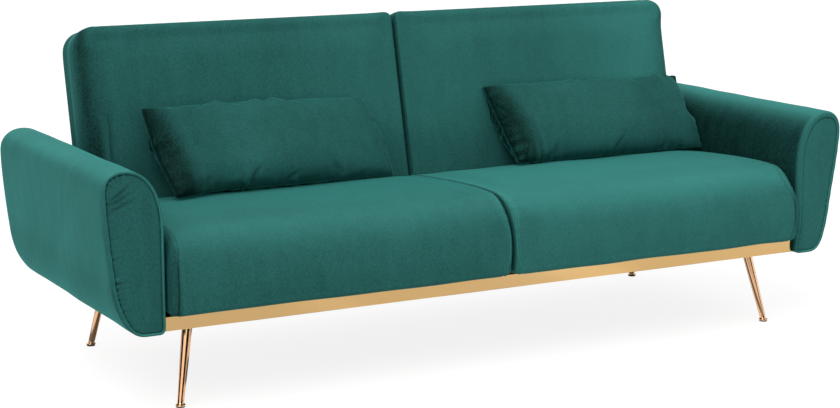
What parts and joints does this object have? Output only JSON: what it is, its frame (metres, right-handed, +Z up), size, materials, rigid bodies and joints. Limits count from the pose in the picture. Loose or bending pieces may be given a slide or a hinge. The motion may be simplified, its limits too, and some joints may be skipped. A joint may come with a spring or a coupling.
{
  "type": "futon sofa bed",
  "caption": "Split-back click-clack sofa bed with rolled velvet arms, sprung seat cushions, reclining backs, lumbar pillows, a gold base trim and splayed tapered metal legs.",
  "frame": {"origin": "centre of the footprint's bounding box, on the floor under the foot glides", "axes": "+Z up, +X to the right as seen from the front, and the sofa faces -Y"},
  "size_m": [2.16, 0.83, 0.8627],
  "materials": {
    "velvet": "matte",
    "gold_trim": "polished",
    "rose_gold": "polished",
    "timber": "matte",
    "plywood": "matte",
    "foam": "matte",
    "polyester_fill": "matte",
    "spring_wire": "satin",
    "zinc_steel": "satin",
    "black_steel": "satin",
    "webbing": "matte",
    "dust_cloth": "matte",
    "glide_plastic": "matte"
  },
  "bodies": {
    "base": {"front_rail": "timber", "rear_rail": "timber", "side_rail_left": "timber", "side_rail_right": "timber", "centre_rail": "timber", "corner_blocks": "timber", "front_riser": "timber", "rear_riser": "timber", "side_risers": "timber", "base_trim": "gold_trim", "leg_front_left": "rose_gold", "leg_front_right": "rose_gold", "leg_rear_left": "rose_gold", "leg_rear_right": "rose_gold", "leg_plates": "zinc_steel", "leg_screws": "zinc_steel", "foot_glides": "glide_plastic", "dust_cover": "dust_cloth", "seat_springs_left": "spring_wire", "seat_springs_right": "spring_wire", "spring_clips": "zinc_steel", "seat_foam_left": "foam", "seat_foam_right": "foam", "seat_cover_left": "velvet", "seat_cover_right": "velvet", "arm_board_left": "plywood", "arm_board_right": "plywood", "arm_ribs_left": "plywood", "arm_ribs_right": "plywood", "arm_foam_left": "foam", "arm_foam_right": "foam", "arm_cover_left": "velvet", "arm_cover_right": "velvet", "arm_bolts_left": "zinc_steel", "arm_bolts_right": "zinc_steel", "arm_cleats": "timber", "hinge_blocks": "timber", "hinge_plate_left": "black_steel", "hinge_plate_centre": "black_steel", "hinge_plate_right": "black_steel", "hinge_screws": "zinc_steel", "hinge_pins": "zinc_steel"},
    "back_left": {"back_stiles_left": "timber", "back_rails_left": "timber", "back_webbing_left": "webbing", "back_panel_left": "plywood", "back_foam_left": "foam", "back_cover_left": "velvet", "hinge_leaves_left": "black_steel"},
    "back_right": {"back_stiles_right": "timber", "back_rails_right": "timber", "back_webbing_right": "webbing", "back_panel_right": "plywood", "back_foam_right": "foam", "back_cover_right": "velvet", "hinge_leaves_right": "black_steel"},
    "pillow_left": {"pillow_cover_left": "velvet", "pillow_insert_left": "polyester_fill"},
    "pillow_right": {"pillow_cover_right": "velvet", "pillow_insert_right": "polyester_fill"}
  },
  "joints": [
    {"name": "back_left_recline", "type": "hinge", "parent": "base", "child": "back_left", "pos_m": [-0.4645, 0.224, 0.33], "axis": [-1, 0, 0], "range_deg": [0, 76.5]},
    {"name": "back_right_recline", "type": "hinge", "parent": "base", "child": "back_right", "pos_m": [0.4645, 0.224, 0.33], "axis": [-1, 0, 0], "range_deg": [0, 76.5]},
    {"name": "pillow_left_slide", "type": "slide", "parent": "back_left", "child": "pillow_left", "axis": [0, 0.2334, 0.9724], "range_m": [0, 0.2]},
    {"name": "pillow_right_slide", "type": "slide", "parent": "back_right", "child": "pillow_right", "axis": [0, 0.2334, 0.9724], "range_m": [0, 0.2]}
  ]
}
